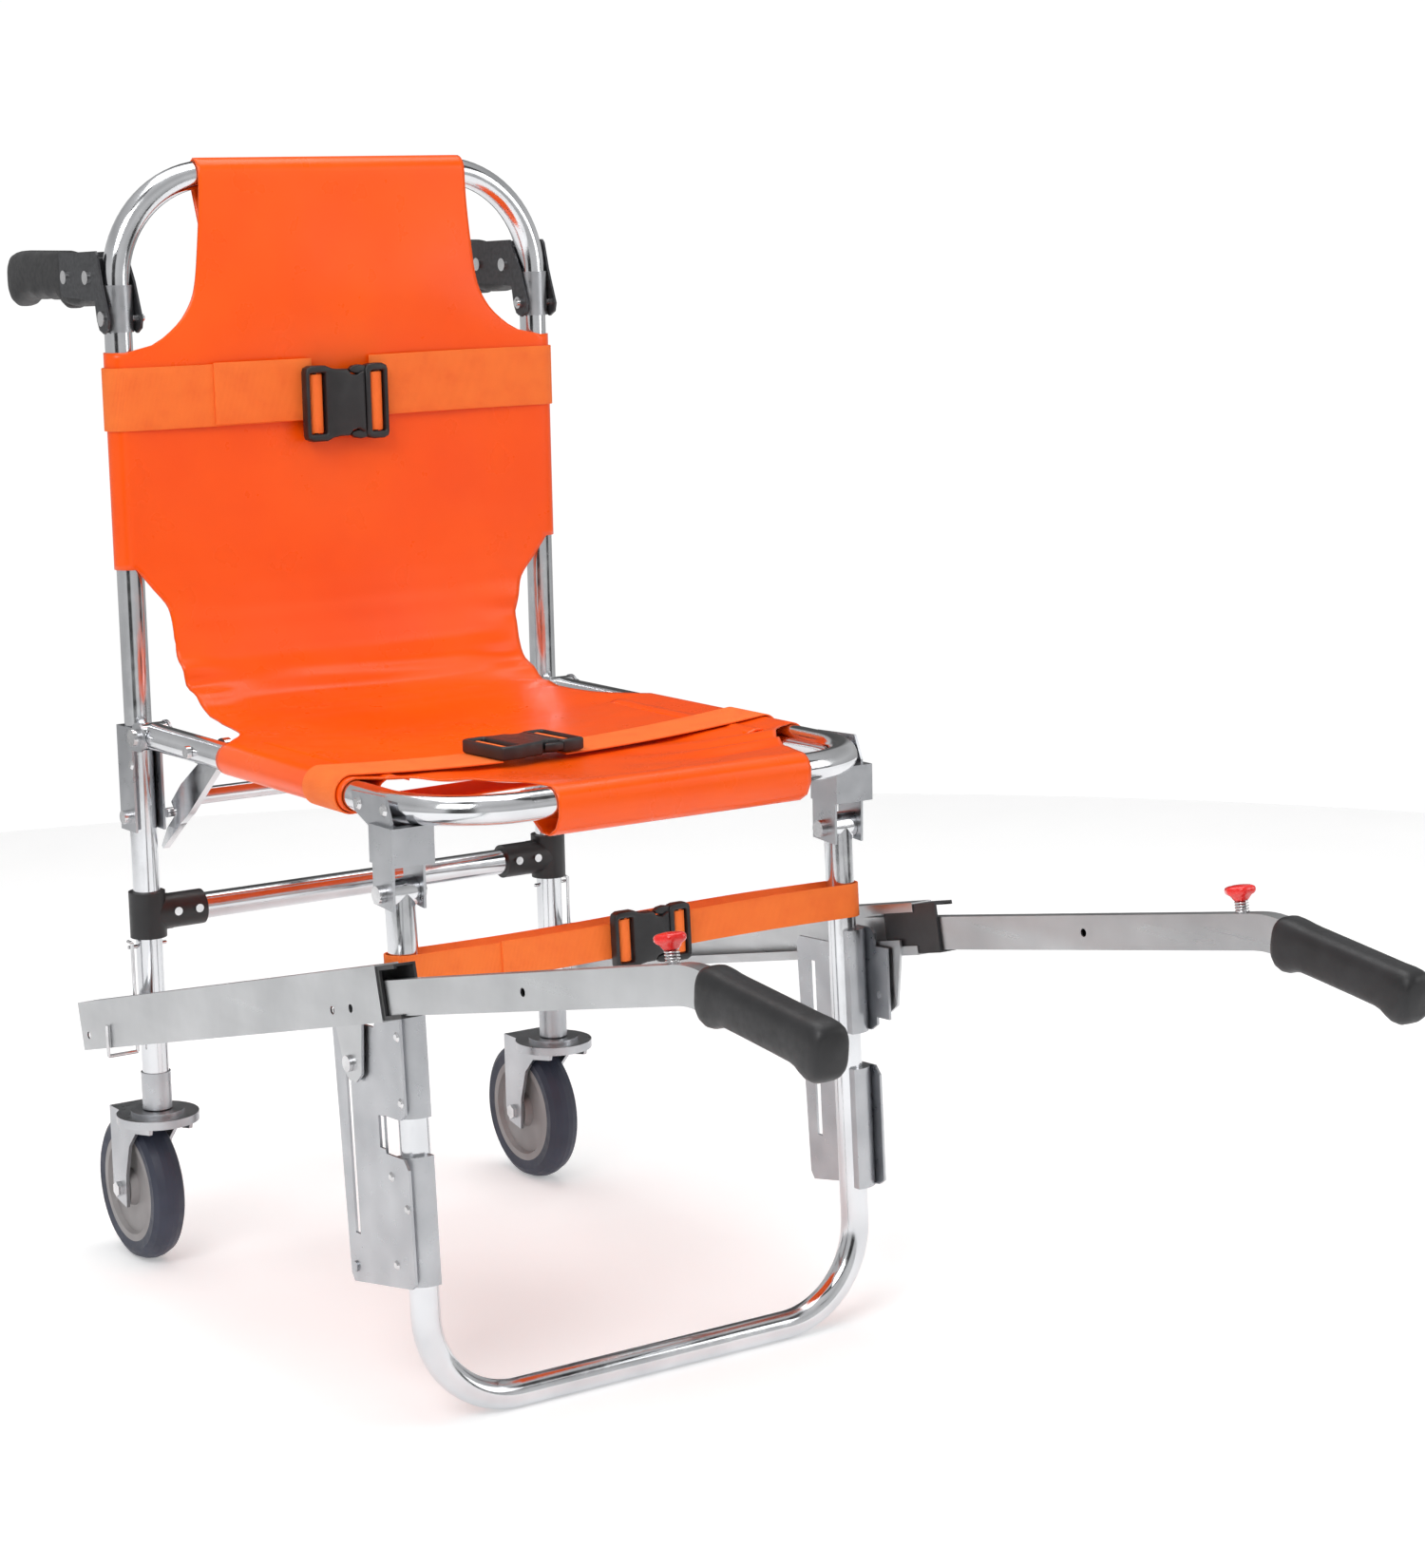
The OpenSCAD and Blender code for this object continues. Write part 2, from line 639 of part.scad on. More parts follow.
// Buckle body lying in the XY plane, webbing along X, height w, tongue side towards +X.
module buckle(w) {
    difference() {
        translate([-38, -w / 2, 0]) cube([48, w, 11]);
        translate([-12, -w / 2 + 6, 2]) cube([30, w - 12, 7]);
        translate([-33, -w / 2 + 6, -1]) cube([8, w - 12, 20]);
    }
}
module tongue(w) {
    difference() {
        union() {
            translate([10.4, -w / 2, 0]) cube([26, w, 11]);
            for (s = [-1, 1]) translate([-8, s * (w / 2 - 11) - 2, 3]) cube([19, 4, 5]);
            translate([-8, -2, 3]) cube([19, 4, 5]);
        }
        translate([22, -w / 2 + 6, -1]) cube([8, w - 12, 20]);
    }
}
module chest_place() {
    translate([-2, strap_y - strap_t - 0.3, chest_z - 12]) rotate([90, 0, 0]) children();
}
module lap_place() {
    translate([lap_x, lap_y, seat_z + strap_r + strap_t + 0.3]) rotate([0, 0, lap_dir]) children();
}
module leg_buckle_place() {
    leg_strap_place() translate([5, -leg_strap_in - strap_t - 0.3, 0]) rotate([90, 0, 0])
        scale(leg_buckle_scale) children();
}

// Round-headed rivet on a plate facing along X, d is the outward direction.
module rivet(x, y, z, d, rad) {
    translate([x, y, z]) rotate([0, d * 90, 0]) {
        cylinder(r1 = rad, r2 = rad * 0.6, h = rad * 0.4);
    }
}
module fasteners_back() {
    color("white") for (k = [0, 1]) side(k) {
        xcyl(-px - 19, -px + 15.5, seat_piv[0], seat_piv[1], 4);
        xcyl(-px - 19, -px - 13.4, seat_piv[0], seat_piv[1], 7);
        xcyl(-px + r + 0.3 + plate_t, -strut_x + 6, latch[0], latch[1], 4);
        xcyl(-plate_x - plate_t - 6, -plate_x - plate_t, 222, 386, 5.5);
        rivet(-plate_x - plate_t, 212, 430, -1, 4);
        xcyl(-clip_x - 1.9, -px + r + 4, post_y, clip_z, clip_r);
        xcyl(-px - rear_out - 2, -px + rear_out + 5, rear_piv[0], rear_piv[1], 3);
        xcyl(-px - rear_out - 2, -px - rear_out - 0.2, rear_piv[0], rear_piv[1], 6);
        xcyl(-px + rear_out + 0.2, -px + rear_out + 3, rear_piv[0], rear_piv[1], 5);
        for (p = [[-px + 20, cross_z + 2], [-px + 39, cross_z + 2]])
            ycyl(p[0], post_y - r - 6, post_y - r - 3.5, p[1], 3.5);
    }
}
module fasteners_seat() {
    color("white") for (k = [0, 1]) side(k) {
        xcyl(-px - 14, -strut_x + 5, strut_piv[0], strut_piv[1], 3);
        xcyl(-px - 15, -px - r - 0.2, strut_piv[0], strut_piv[1], 5);
        xcyl(-px - 19, -px + 19, leg_piv[0], leg_piv[1], 4);
        for (s = [-1, 1]) xcyl(-px + s * 16.2 - 2.8, -px + s * 16.2 + 2.8, leg_piv[0], leg_piv[1], 6.5);
        for (y = [-178, -216]) rivet(-plate_x - plate_t, y, seat_z, -1, 5);
    }
}
module fasteners_leg() {
    color("white") for (k = [0, 1]) side(k) leg_place() {
        for (p = [[-15, -100], [-15, -148], [6, -205], [-15, -225], [6, -270]])
            rivet(-side_x - plate_t, p[0], p[1], -1, 3.6);
        xcyl(-rail_in - 3, -side_x + 0.2, rail_pins[k][0], rail_pins[k][1], 3);
        xcyl(-rail_in - 3, -rail_in - 0.1, rail_pins[k][0], rail_pins[k][1], 6);
    }
}

put() back_frame();
put() cross_bar();
put() tee(0);  // tee_l
put() tee(1);  // tee_r
put() socket(0);  // socket_l
put() socket(1);  // socket_r
put() fork(0);  // fork_l
put() fork(1);  // fork_r
put() tyre(0);  // tyre_l
put() tyre(1);  // tyre_r
put() hub(0);  // hub_l
put() hub(1);  // hub_r
put() axle(0);  // axle_l
put() axle(1);  // axle_r
put() post_bracket(0);  // post_bracket_l
put() post_bracket(1);  // post_bracket_r
put() seat_frame();
put() release_bar();
put() corner_bracket(0);  // corner_bracket_l
put() corner_bracket(1);  // corner_bracket_r
put() corner_block(0);  // corner_block_l
put() corner_block(1);  // corner_block_r
put() leg_frame();
put() slot_plate(0);  // slot_plate_l
put() slot_plate(1);  // slot_plate_r
put() rail(0);  // rail_l
put() rail(1);  // rail_r
put() guide(0);  // guide_l
put() guide(1);  // guide_r
put() handle_tube(0);  // handle_tube_l
put() handle_tube(1);  // handle_tube_r
put() grip(0);  // grip_l
put() grip(1);  // grip_r
put() knob(0);  // knob_l
put() knob(1);  // knob_r
put() rear_clamp(0);  // rear_clamp_l
put() rear_clamp(1);  // rear_clamp_r
put() rear_arm(0);  // rear_arm_l
put() rear_arm(1);  // rear_arm_r
put() arm_bolts(0);  // arm_bolts_l
put() arm_bolts(1);  // arm_bolts_r
put() rear_grip(0);  // rear_grip_l
put() rear_grip(1);  // rear_grip_r
put() wire_clip(0);  // wire_clip_l
put() wire_clip(1);  // wire_clip_r
put() back_sling();
put() seat_sling();
put() chest_strap();
put() lap_strap();
put() leg_strap();
put() color("black") chest_place() buckle(62);  // chest_buckle
put() color("black") chest_place() tongue(62);  // chest_tongue
put() color("black") lap_place() buckle(58);  // lap_buckle
put() color("black") lap_place() tongue(58);  // lap_tongue
put() color("black") leg_buckle_place() buckle(50);  // leg_buckle
put() color("black") leg_buckle_place() tongue(50);  // leg_tongue
put() fasteners_back();
put() fasteners_seat();
put() fasteners_leg();
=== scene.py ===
import json
import math

import bmesh
import bpy
import numpy as np
from mathutils import Matrix, Vector


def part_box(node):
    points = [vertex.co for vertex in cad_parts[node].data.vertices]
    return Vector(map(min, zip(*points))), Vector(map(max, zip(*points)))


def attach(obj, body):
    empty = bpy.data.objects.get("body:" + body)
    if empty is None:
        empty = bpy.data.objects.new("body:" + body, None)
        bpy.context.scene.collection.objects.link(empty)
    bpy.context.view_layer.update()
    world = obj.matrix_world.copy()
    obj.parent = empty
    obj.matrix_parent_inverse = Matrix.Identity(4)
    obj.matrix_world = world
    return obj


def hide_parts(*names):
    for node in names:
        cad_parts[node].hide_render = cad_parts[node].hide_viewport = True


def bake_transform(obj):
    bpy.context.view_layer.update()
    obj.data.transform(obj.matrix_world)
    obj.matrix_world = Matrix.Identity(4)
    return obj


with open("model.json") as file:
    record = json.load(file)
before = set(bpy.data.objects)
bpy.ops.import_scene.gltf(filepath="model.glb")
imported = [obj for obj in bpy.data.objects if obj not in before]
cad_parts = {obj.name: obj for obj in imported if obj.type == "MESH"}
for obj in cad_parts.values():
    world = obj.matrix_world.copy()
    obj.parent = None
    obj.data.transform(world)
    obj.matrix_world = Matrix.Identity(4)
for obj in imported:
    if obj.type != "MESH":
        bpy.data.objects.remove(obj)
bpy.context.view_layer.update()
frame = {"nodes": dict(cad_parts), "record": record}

# ---------------------------------------------------------------- places
# Design coordinates are millimetres, with y as in the CAD source. P() puts them in the row frame.
MM = 0.001
POST_Y = 225.0
back_lo, back_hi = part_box("back_frame")
Y0 = (back_lo.y + back_hi.y) / 2 - POST_Y * MM
POST_X = 192.0
TUBE_R = 11.0
TOP_Z = 899.0
SEAT_Z = 454.0
FRONT_Y = -267.0
LOOP_R = TUBE_R + 1.1          # middle of the fabric where it goes round a tube
WEB_R = TUBE_R + 3.2           # middle of the webbing outside the fabric
SIDES = {"l": -1, "r": 1}


def P(x, y, z):
    return Vector((x * MM, y * MM + Y0, z * MM))


def T(x, y, z):
    return Matrix.Translation((x, y, z))


def R(axis, degrees):
    return Matrix.Rotation(math.radians(degrees), 4, axis)


TO_ROW = Matrix.Translation((0, Y0, 0)) @ Matrix.Scale(MM, 4)


# ---------------------------------------------------------------- materials
def new_material(name, colour, rough, metal=0.0, **sockets):
    m = bpy.data.materials.new(name)
    m.use_nodes = True
    bsdf = m.node_tree.nodes["Principled BSDF"]
    bsdf.inputs["Base Color"].default_value = (*colour, 1)
    bsdf.inputs["Roughness"].default_value = rough
    bsdf.inputs["Metallic"].default_value = metal
    for key, value in sockets.items():
        bsdf.inputs[key.replace("_", " ")].default_value = value
    return m, m.node_tree, bsdf


def node(tree, kind, **values):
    n = tree.nodes.new(kind)
    for key, value in values.items():
        if key in n.inputs:
            n.inputs[key].default_value = value
        else:
            setattr(n, key, value)
    return n


def noise(tree, coord, scale, detail=3.0, stretch=(1, 1, 1)):
    mapping = node(tree, "ShaderNodeMapping")
    mapping.inputs["Scale"].default_value = stretch
    tree.links.new(coord, mapping.inputs["Vector"])
    n = node(tree, "ShaderNodeTexNoise", Scale=scale, Detail=detail)
    tree.links.new(mapping.outputs["Vector"], n.inputs["Vector"])
    return n.outputs["Fac"]


def spread(tree, value, low, high):
    m = node(tree, "ShaderNodeMapRange")
    m.inputs["From Min"].default_value = 0.3
    m.inputs["From Max"].default_value = 0.7
    m.inputs["To Min"].default_value = low
    m.inputs["To Max"].default_value = high
    tree.links.new(value, m.inputs["Value"])
    return m.outputs["Result"]


def tint(tree, bsdf, value, dark, light):
    ramp = node(tree, "ShaderNodeValToRGB")
    ramp.color_ramp.elements[0].position = 0.3
    ramp.color_ramp.elements[1].position = 0.7
    ramp.color_ramp.elements[0].color = (*dark, 1)
    ramp.color_ramp.elements[1].color = (*light, 1)
    tree.links.new(value, ramp.inputs["Fac"])
    tree.links.new(ramp.outputs["Color"], bsdf.inputs["Base Color"])
    return ramp.outputs["Color"]


def bump(tree, bsdf, height, distance, strength=1.0, below=None):
    b = node(tree, "ShaderNodeBump", Strength=strength, Distance=distance)
    tree.links.new(height, b.inputs["Height"])
    if below is not None:
        tree.links.new(below, b.inputs["Normal"])
    tree.links.new(b.outputs["Normal"], bsdf.inputs["Normal"])
    return b.outputs["Normal"]


def surface(name, dark, light, rough, metal=0.0, patch=25.0, grain=900.0, grain_depth=0.00004,
            stretch=(1, 1, 1), **sockets):
    """A material with patches of colour and roughness, and a fine grain in its bump."""
    m, tree, bsdf = new_material(name, light, rough[0], metal, **sockets)
    coord = node(tree, "ShaderNodeTexCoord").outputs["Object"]
    patches = noise(tree, coord, patch, 4.0)
    fine = noise(tree, coord, grain, 2.0, stretch)
    tint(tree, bsdf, patches, dark, light)
    tree.links.new(spread(tree, noise(tree, coord, patch * 4, 5.0, stretch), *rough),
                   bsdf.inputs["Roughness"])
    bump(tree, bsdf, fine, grain_depth)
    return m


def webbing_material():
    m, tree, bsdf = new_material("webbing", (1.0, 0.17, 0.012), 0.62, 0.0)
    uv = node(tree, "ShaderNodeTexCoord").outputs["UV"]
    ribs = node(tree, "ShaderNodeTexWave", Scale=310.0, Distortion=0.25)
    ribs.bands_direction = "X"
    tree.links.new(uv, ribs.inputs["Vector"])
    picks = node(tree, "ShaderNodeTexWave", Scale=620.0, Distortion=0.4)
    picks.bands_direction = "Y"
    tree.links.new(uv, picks.inputs["Vector"])
    mix = node(tree, "ShaderNodeMath", operation="MULTIPLY_ADD")
    mix.inputs[1].default_value = 0.35
    tree.links.new(picks.outputs["Fac"], mix.inputs[0])
    tree.links.new(ribs.outputs["Fac"], mix.inputs[2])
    wear = noise(tree, uv, 45.0, 4.0)
    blend = node(tree, "ShaderNodeMath", operation="MULTIPLY_ADD")
    blend.inputs[1].default_value = 0.35
    tree.links.new(mix.outputs[0], blend.inputs[0])
    tree.links.new(wear, blend.inputs[2])
    tint(tree, bsdf, blend.outputs[0], (0.86, 0.105, 0.006), (1.0, 0.19, 0.018))
    bump(tree, bsdf, mix.outputs[0], 0.00035, 0.6)
    return m


def vinyl_material():
    m, tree, bsdf = new_material("vinyl", (0.98, 0.105, 0.001), 0.34, 0.0, Specular_IOR_Level=0.3,
                                 Coat_Weight=0.12, Coat_Roughness=0.22)
    coord = node(tree, "ShaderNodeTexCoord")
    soft = noise(tree, coord.outputs["Object"], 9.0, 3.0)
    tint(tree, bsdf, soft, (0.93, 0.088, 0.001), (0.99, 0.112, 0.0015))
    tree.links.new(spread(tree, noise(tree, coord.outputs["Object"], 30.0, 5.0), 0.25, 0.36),
                   bsdf.inputs["Roughness"])
    scrim = noise(tree, coord.outputs["Object"], 700.0, 2.0)
    first = bump(tree, bsdf, scrim, 0.00005, 0.5)
    dents = noise(tree, coord.outputs["Object"], 22.0, 2.0)
    bump(tree, bsdf, dents, 0.0012, 0.35, first)
    return m


MATS = {
    "polished_tube": surface("polished tube", (0.60, 0.61, 0.63), (0.76, 0.77, 0.79), (0.08, 0.20), 1.0,
                             18.0, 1400.0, 0.00001),
    "satin_aluminium": surface("satin aluminium", (0.46, 0.47, 0.48), (0.57, 0.58, 0.59), (0.26, 0.40), 1.0,
                               14.0, 900.0, 0.00002, (1, 0.06, 1)),
    "zinc_steel": surface("zinc steel", (0.40, 0.41, 0.43), (0.52, 0.53, 0.55), (0.26, 0.38), 1.0,
                          30.0, 700.0, 0.00002),
    "bright_steel": surface("bright steel", (0.55, 0.55, 0.56), (0.74, 0.74, 0.75), (0.12, 0.26), 1.0,
                            60.0, 900.0, 0.00002),
    "dark_steel": surface("dark steel", (0.030, 0.031, 0.034), (0.060, 0.062, 0.068), (0.36, 0.52), 0.35,
                          260.0, 1500.0, 0.00006),
    "black_plastic": surface("black plastic", (0.010, 0.010, 0.011), (0.022, 0.022, 0.024), (0.34, 0.48), 0.0,
                             40.0, 1600.0, 0.00005),
    "grip_rubber": surface("grip rubber", (0.008, 0.008, 0.009), (0.018, 0.018, 0.020), (0.40, 0.55), 0.0,
                           50.0, 1500.0, 0.00008),
    "tyre_rubber": surface("tyre rubber", (0.022, 0.026, 0.045), (0.036, 0.042, 0.070), (0.45, 0.62), 0.0,
                           35.0, 1200.0, 0.00008),
    "hub_plastic": surface("hub plastic", (0.23, 0.215, 0.215), (0.30, 0.285, 0.285), (0.42, 0.55), 0.0,
                           40.0, 1500.0, 0.00005),
    "red_plastic": surface("red plastic", (0.70, 0.010, 0.008), (0.86, 0.016, 0.012), (0.20, 0.30), 0.0,
                           60.0, 900.0, 0.00003, Coat_Weight=0.4),
    "orange_vinyl": vinyl_material(),
    "orange_webbing": webbing_material(),
}


# ---------------------------------------------------------------- building pieces
def add_object(name, mesh, slot_name, body, modifiers=(), to_row=True, matrix=None):
    obj = bpy.data.objects.new(name, mesh)
    bpy.context.scene.collection.objects.link(obj)
    if matrix is not None:
        mesh.transform(matrix)
    if to_row:
        mesh.transform(TO_ROW)
    mesh.materials.clear()
    mesh.materials.append(MATS[slot_name])
    mesh.polygons.foreach_set("use_smooth", [True] * len(mesh.polygons))
    for kind, values in modifiers:
        mod = obj.modifiers.new(kind.title(), kind)
        for key, value in values.items():
            setattr(mod, key, value)
    if body:
        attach(obj, body)
    return obj


def from_grid(name, points, uv=None, close_u=False, close_v=False):
    """Mesh from a grid of points, with UVs in metres where they are given."""
    rows, cols = len(points), len(points[0])
    bm = bmesh.new()
    verts = [[bm.verts.new(p) for p in row] for row in points]
    layer = bm.loops.layers.uv.new("UVMap")
    for i in range(rows if close_u else rows - 1):
        for j in range(cols if close_v else cols - 1):
            i2, j2 = (i + 1) % rows, (j + 1) % cols
            corners = [(i, j), (i2, j), (i2, j2), (i, j2)]
            face = bm.faces.new([verts[a][b] for a, b in corners])
            if uv is not None:
                for loop, (a, b) in zip(face.loops, corners):
                    loop[layer].uv = uv[a][b]
    mesh = bpy.data.meshes.new(name)
    bm.to_mesh(mesh)
    bm.free()
    return mesh


def tube(name, points, radius, slot_name, body, sides=12, matrix=None, closed=False):
    """A round wire or bar along points, with flat ends."""
    pts = [Vector(p) for p in points]
    rows = []
    up = Vector((0.31, 0.17, 0.93)).normalized()
    for i, p in enumerate(pts):
        if closed:
            d = pts[(i + 1) % len(pts)] - pts[i - 1]
        else:
            d = pts[min(i + 1, len(pts) - 1)] - pts[max(i - 1, 0)]
        d.normalize()
        a = (up - d * up.dot(d)).normalized()
        up = a
        b = d.cross(a)
        rows.append([p + (a * math.cos(t) + b * math.sin(t)) * radius
                     for t in [2 * math.pi * k / sides for k in range(sides)]])
    mesh = from_grid(name, rows, close_u=closed, close_v=True)
    if not closed:
        cap_ends(mesh, len(rows), sides)
    return add_object(name, mesh, slot_name, body, matrix=matrix)


def cap_ends(mesh, rows, sides):
    bm = bmesh.new()
    bm.from_mesh(mesh)
    bm.verts.ensure_lookup_table()
    bm.faces.new([bm.verts[k] for k in range(sides)])
    bm.faces.new([bm.verts[(rows - 1) * sides + k] for k in range(sides)][::-1])
    bmesh.ops.recalc_face_normals(bm, faces=bm.faces)
    bm.to_mesh(mesh)
    bm.free()


def loft(name, sections, slot_name, body, matrix, sides=40, power=3.2):
    """A moulded bar: each section is (along y, half width in x, lowest z, highest z, x centre)."""
    rows = []
    for y, half, low, high, x0 in sections:
        row = []
        for k in range(sides):
            t = 2 * math.pi * k / sides
            c, s = math.cos(t), math.sin(t)
            row.append(Vector((x0 + half * math.copysign(abs(c) ** (2 / power), c), y,
                               (low + high) / 2
                               + (high - low) / 2 * math.copysign(abs(s) ** (2 / power), s))))
        rows.append(row)
    mesh = from_grid(name, rows, close_v=True)
    cap_ends(mesh, len(rows), sides)
    return add_object(name, mesh, slot_name, body, matrix=matrix)


def lathe(name, profile, slot_name, body, matrix, sides=40, lobes=0, depth=0.0):
    """A turned piece about its own z axis, with an optional scalloped rim."""
    rows = []
    for radius, z in profile:
        row = []
        for k in range(sides):
            t = 2 * math.pi * k / sides
            r = radius + depth * math.cos(lobes * 2 * math.pi * k / sides) * (radius > 7)
            row.append(Vector((r * math.cos(t), r * math.sin(t), z)))
        rows.append(row)
    mesh = from_grid(name, rows, close_v=True)
    cap_ends(mesh, len(rows), sides)
    return add_object(name, mesh, slot_name, body, matrix=matrix)


def plate(name, loops, low, high, soft, slot_name, body, matrix):
    """A flat moulding with rounded edges: the first loop is its outline and the others are holes."""
    curve = bpy.data.curves.new(name, "CURVE")
    curve.dimensions = "2D"
    curve.fill_mode = "BOTH"
    for loop in loops:
        spline = curve.splines.new("POLY")
        spline.points.add(len(loop) - 1)
        for point, (x, y) in zip(spline.points, loop):
            point.co = (x, y, 0, 1)
        spline.use_cyclic_u = True
    curve.extrude = (high - low) / 2 - soft
    curve.bevel_depth = soft
    curve.bevel_resolution = 2
    curve.offset = -soft
    holder = bpy.data.objects.new(name + "_curve", curve)
    bpy.context.scene.collection.objects.link(holder)
    bpy.context.view_layer.update()
    graph = bpy.context.evaluated_depsgraph_get()
    mesh = bpy.data.meshes.new_from_object(holder.evaluated_get(graph))
    bpy.data.objects.remove(holder)
    bm = bmesh.new()
    bm.from_mesh(mesh)
    bmesh.ops.remove_doubles(bm, verts=bm.verts, dist=0.01)
    bmesh.ops.recalc_face_normals(bm, faces=bm.faces)
    bm.to_mesh(mesh)
    bm.free()
    mesh.transform(T(0, 0, (low + high) / 2))
    obj = add_object(name, mesh, slot_name, body, matrix=matrix)
    smooth_by_angle(obj, 40)
    return obj


def smooth_by_angle(obj, degrees):
    """Marks the sharp edges of a mesh so that flat faces stay flat."""
    bm = bmesh.new()
    bm.from_mesh(obj.data)
    for edge in bm.edges:
        edge.smooth = len(edge.link_faces) == 2 and edge.calc_face_angle(0) < math.radians(degrees)
    bm.to_mesh(obj.data)
    bm.free()


def rounded(x0, x1, y0, y1, r, steps=5):
    """Outline of a rectangle with round corners."""
    out = []
    corners = ((x1 - r, y1 - r, 0), (x0 + r, y1 - r, 90), (x0 + r, y0 + r, 180), (x1 - r, y0 + r, 270))
    for cx, cy, start in corners:
        for k in range(steps + 1):
            t = math.radians(start + 90 * k / steps)
            out.append((cx + r * math.cos(t), cy + r * math.sin(t)))
    return out


# ---------------------------------------------------------------- smooth lines
def smooth_line(x, xs, ys):
    """Curve through the points (xs, ys) that never overshoots them."""
    xs, ys, x = np.array(xs, float), np.array(ys, float), np.asarray(x, float)
    h, d = np.diff(xs), np.diff(ys) / np.diff(xs)
    m = np.zeros(len(xs))
    m[0], m[-1] = d[0], d[-1]
    for i in range(1, len(xs) - 1):
        if d[i - 1] * d[i] > 0:
            w1, w2 = 2 * h[i] + h[i - 1], h[i] + 2 * h[i - 1]
            m[i] = (w1 + w2) / (w1 / d[i - 1] + w2 / d[i])
    k = np.clip(np.searchsorted(xs, x) - 1, 0, len(h) - 1)
    t = (x - xs[k]) / h[k]
    return ((2 * t**3 - 3 * t**2 + 1) * ys[k] + (t**3 - 2 * t**2 + t) * h[k] * m[k]
            + (-2 * t**3 + 3 * t**2) * ys[k + 1] + (t**3 - t**2) * h[k] * m[k + 1])


def bell(x, centre, width):
    return np.exp(-(((x - centre) / width) ** 2))


# ---------------------------------------------------------------- the sling
FLAP_END = (214.9, 836.0)
FLAP_ANGLE = -20.3
SLEEVE_TOP, SLEEVE_LOW = 760.0, 587.0
RAIL_REAR, RAIL_FRONT = 55.0, -150.0
PANEL_Y = POST_Y - LOOP_R
SEAT_TOP = SEAT_Z + LOOP_R


def sling_profile():
    """Side view of the fabric, from the hem behind the top tube to the hem under the front tube."""
    line = [FLAP_END]
    for a in np.linspace(FLAP_ANGLE, 180, 16):
        line.append((POST_Y + LOOP_R * math.cos(math.radians(a)),
                     TOP_Z + LOOP_R * math.sin(math.radians(a))))
    line += [(PANEL_Y, z) for z in (880, 850, 820, 800, 780, SLEEVE_TOP, 720, 680, 640, 610, SLEEVE_LOW)]
    line += [(PANEL_Y - 0.4, 570), (PANEL_Y - 1.8, 550), (PANEL_Y - 5, 530), (203, 511), (194, 494),
             (180, 480), (162, 471), (140, 467), (115, 466.3), (85, SEAT_TOP), (RAIL_REAR, SEAT_TOP)]
    line += [(y, SEAT_TOP) for y in (20, -20, -60, -100, RAIL_FRONT, -190, -230, FRONT_Y)]
    for a in np.linspace(100, 178, 6):
        line.append((FRONT_Y + LOOP_R * math.cos(math.radians(a)),
                     SEAT_Z + LOOP_R * math.sin(math.radians(a))))
    line += [(-278.6, 445), (-274, 436), (-265, 430.5), (-254, 431), (-243, 438), (-233, 448), (-226, 457)]
    return np.array(line)


def dense_line(line, step):
    """Points spaced by at most step along line, keeping each of its own points."""
    out = [line[0]]
    for a, b in zip(line[:-1], line[1:]):
        n = max(1, int(math.ceil(np.linalg.norm(b - a) / step)))
        out += [a + (b - a) * k / n for k in range(1, n + 1)]
    return np.array(out)


EDGE_LEAN = 5.0                # how much further the left edge reaches out at the bend


def half_widths(y, z, s, s_top, s_front):
    """Left and right half widths of the fabric at a point of its side view."""
    if s <= s_top:
        return 119.0, 119.0
    if s >= s_front:
        return 100.0, 118.0
    back = smooth_line([z], [460, 474, 491, 508, 530, 552, 572, SLEEVE_LOW],
                       [155, 152, 156, 159, 161, 165, 180, 192])[0]
    if y > PANEL_Y - 6 and z > 525:
        if z >= SLEEVE_TOP:
            w = smooth_line([z], [SLEEVE_TOP, 764, 772, 788, 806, 830, 899, 912],
                            [192, 172, 157, 140, 131, 127, 122, 122])[0]
        elif z >= SLEEVE_LOW:
            w = 192.0
        else:
            w = back
        lean = EDGE_LEAN * float(bell(z, 508, 34))
        return w + lean, w - lean
    if y > RAIL_REAR:
        w = smooth_line([y], [RAIL_REAR, 66, 80, 100, 150, 185, 213], [192, 183, 171, 162, 156, 156, 161])[0]
        lean = EDGE_LEAN * float(bell(z, 508, 34))
        return w + lean, w - lean
    if y >= RAIL_FRONT:
        return 192.0, 192.0
    left = smooth_line([y], [FRONT_Y, -250, -235, -215, -190, -165, -155, RAIL_FRONT],
                       [100, 102, 108, 124, 147, 170, 180, 192])[0]
    right = smooth_line([y], [FRONT_Y, -245, -225, -195, -175, -160, -154, RAIL_FRONT],
                        [118, 123, 131, 147, 160, 172, 181, 192])[0]
    return left, right


